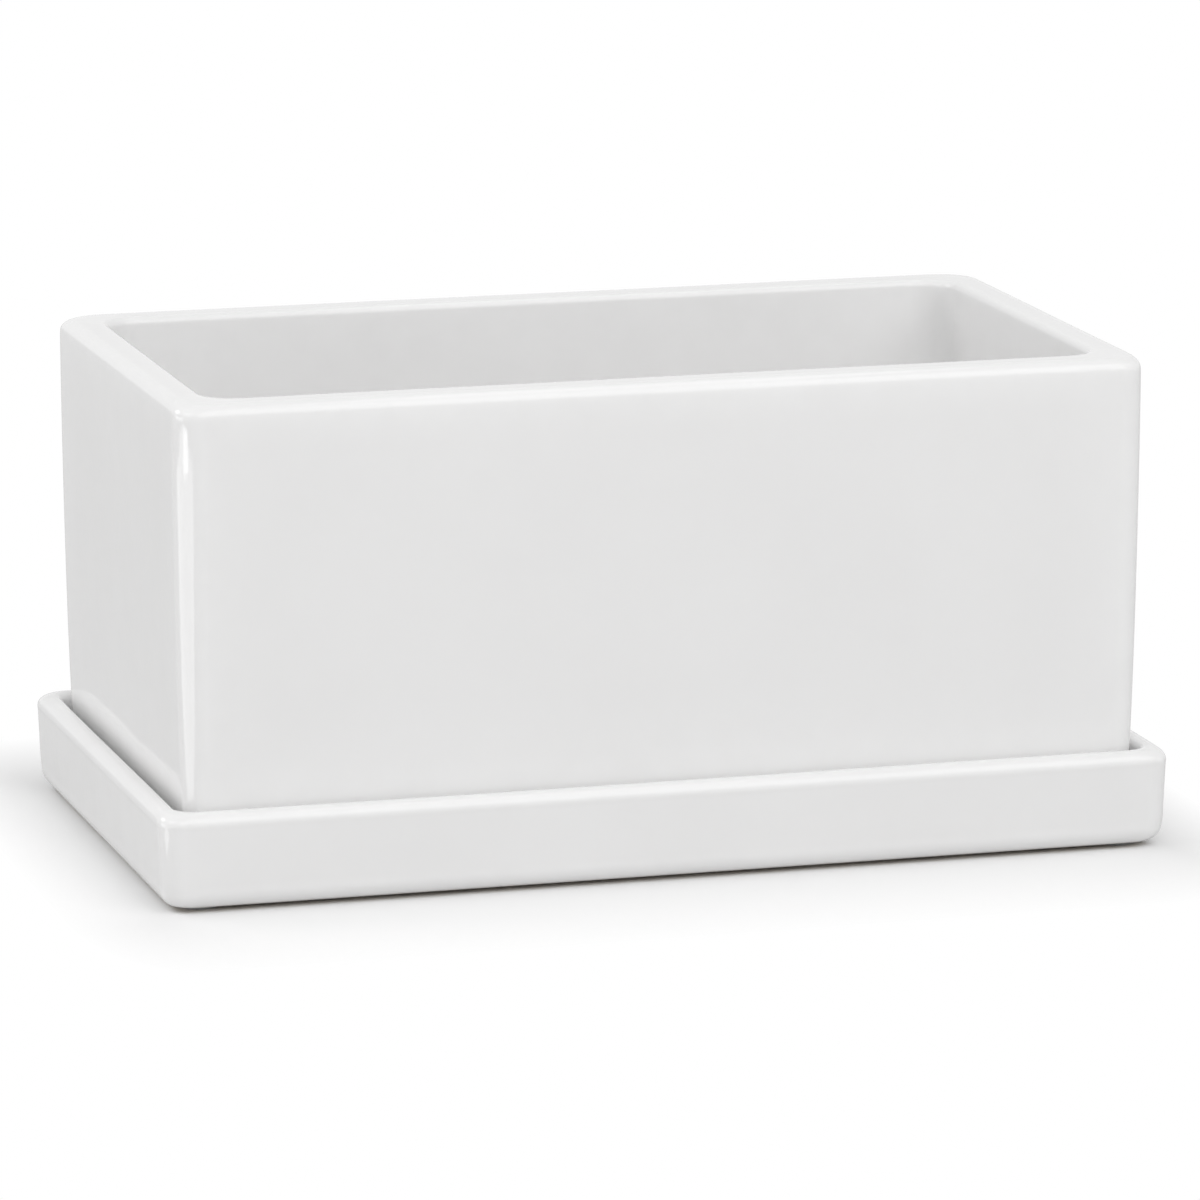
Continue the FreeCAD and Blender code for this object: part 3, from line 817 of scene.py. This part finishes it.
# %% Build the nets
NET_MESHES = 6
NET_PITCH = 5.0
NET_BAR = 1.2
NET_CURL = 0.7  # mm that the corners lift
NET_KNOT = 0.12  # mm that the top stands above the bars' own thickness
NET_WAVE = 15.0  # mm from one high place along the edge to the next


def net_lines():
    """Both edges of every bar, in mm from the net's middle."""
    middles = [(k - NET_MESHES / 2) * NET_PITCH for k in range(NET_MESHES + 1)]
    return [middle + side * NET_BAR / 2 for middle in middles for side in (-1, 1)]


def make_net(position, seed):
    """A square of moulded net, lying where the CAD model's flat one lies."""
    node = f"drain_screen_{position}"
    low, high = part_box(node)
    middle = (low + high) / 2
    lines = net_lines()
    last = len(lines) - 1
    bm = bmesh.new()

    def level(i, j, top):
        reach = (lines[i] ** 2 + lines[j] ** 2) / (2 * lines[-1] ** 2)
        wave = 0.5 + noise.noise(Vector((lines[i] / NET_WAVE, lines[j] / NET_WAVE, seed)))
        return low.z + (NET_CURL * reach * reach * wave + top * (NET_BAR + NET_KNOT)) * MM

    verts = {(i, j, top): bm.verts.new((middle.x + lines[i] * MM, middle.y + lines[j] * MM,
                                        level(i, j, top)))
             for i in range(last + 1) for j in range(last + 1) for top in (0, 1)}
    solid = {(i, j) for i in range(last) for j in range(last) if i % 2 == 0 or j % 2 == 0}
    for i, j in sorted(solid):
        corners = [(i, j), (i + 1, j), (i + 1, j + 1), (i, j + 1)]
        bm.faces.new([verts[(*c, 1)] for c in corners])
        bm.faces.new([verts[(*c, 0)] for c in reversed(corners)])
        for side, step in enumerate(((0, -1), (1, 0), (0, 1), (-1, 0))):
            if (i + step[0], j + step[1]) not in solid:
                a, b = corners[side], corners[(side + 1) % 4]
                bm.faces.new([verts[(*a, 0)], verts[(*b, 0)], verts[(*b, 1)], verts[(*a, 1)]])
    finish_piece(bm, f"drain_net_{position}", net_plastic, node, node)


for k, position in enumerate(("left", "centre", "right")):
    make_net(position, seed=2.3 * k)

# %% [markdown]
# ## Soft pads under the tray
# Four small discs of clear-grey silicone keep the clay off the windowsill. A disc from a cylinder
# has a knife edge that no moulded pad has. Its half profile is drawn instead, from the middle out
# and up, and carried round in steps, as on a lathe.


# %% The pads' finish
SILICONE_DARK = (0.42, 0.43, 0.44, 1)
SILICONE_LIGHT = (0.60, 0.61, 0.62, 1)
SILICONE_ROUGHNESS = (0.42, 0.60)


def make_silicone():
    """Soft grey silicone, satin and a little cloudy."""
    finish = bpy.data.materials.new("grey_silicone")
    tree = empty_tree(finish)
    here = add_node(tree, "TexCoord").outputs["Object"]
    cloudy = add_node(tree, "TexNoise", Vector=here, Scale=noise_scale(2.5), Detail=2.0)
    dust = add_node(tree, "TexNoise", Vector=here, Scale=noise_scale(0.25), Detail=2.0)
    colour = add_node(tree, "Mix", {"data_type": "RGBA"}, in0=cloudy.outputs["Fac"],
                      in6=SILICONE_DARK, in7=SILICONE_LIGHT)
    rough = add_node(tree, "MapRange", Value=dust.outputs["Fac"], From_Min=0.3, From_Max=0.7,
                     To_Min=SILICONE_ROUGHNESS[0], To_Max=SILICONE_ROUGHNESS[1])
    bump = add_node(tree, "Bump", Height=dust.outputs["Fac"], Strength=0.2, Distance=0.00003)
    shader = add_node(tree, "BsdfPrincipled", Base_Color=colour.outputs[2],
                      Roughness=rough.outputs[0], IOR=1.41, Normal=bump.outputs[0])
    add_node(tree, "OutputMaterial", Surface=shader.outputs[0])
    return finish


silicone = make_silicone()
print("pad finish", silicone.name)

# %% Build the pads
PAD_STEPS = 32
PAD_PROFILE = [(3.0, 0.0), (4.3, 0.0), (4.75, 0.06), (4.95, 0.28), (4.97, 0.6), (4.85, 0.9),
               (4.7, 1.0), (3.0, 1.0)]  # radius and height in mm


def make_pad(side, end):
    """A round pad, with a flat face above and below and a soft edge."""
    node = f"tray_pad_{side}_{end}"
    low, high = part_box(node)
    middle = (low + high) / 2
    bm = bmesh.new()
    turns = [2 * math.pi * k / PAD_STEPS for k in range(PAD_STEPS)]
    rings = [[bm.verts.new((middle.x + r * math.cos(t) * MM, middle.y + r * math.sin(t) * MM,
                            low.z + z * MM)) for t in turns] for r, z in PAD_PROFILE]
    for lower, upper in zip(rings, rings[1:]):
        for k in range(PAD_STEPS):
            after = (k + 1) % PAD_STEPS
            bm.faces.new((lower[k], lower[after], upper[after], upper[k]))
    for ring in (rings[0], rings[-1]):
        hub = bm.verts.new((middle.x, middle.y, ring[0].co.z))
        for k in range(PAD_STEPS):
            bm.faces.new((ring[k], ring[(k + 1) % PAD_STEPS], hub))
    finish_piece(bm, f"silicone_pad_{side}_{end}", silicone, "tray", node, rounds=1)


for side in ("front", "back"):
    for end in ("left", "right"):
        make_pad(side, end)

# %% [markdown]
# ## The view
# A dressed piece must not outgrow the CAD model, because the next person plans a shelf or a
# windowsill by that. The last line sets the Standard view transform.

# %% Set the view transform
bpy.context.scene.view_settings.view_transform = "Standard"
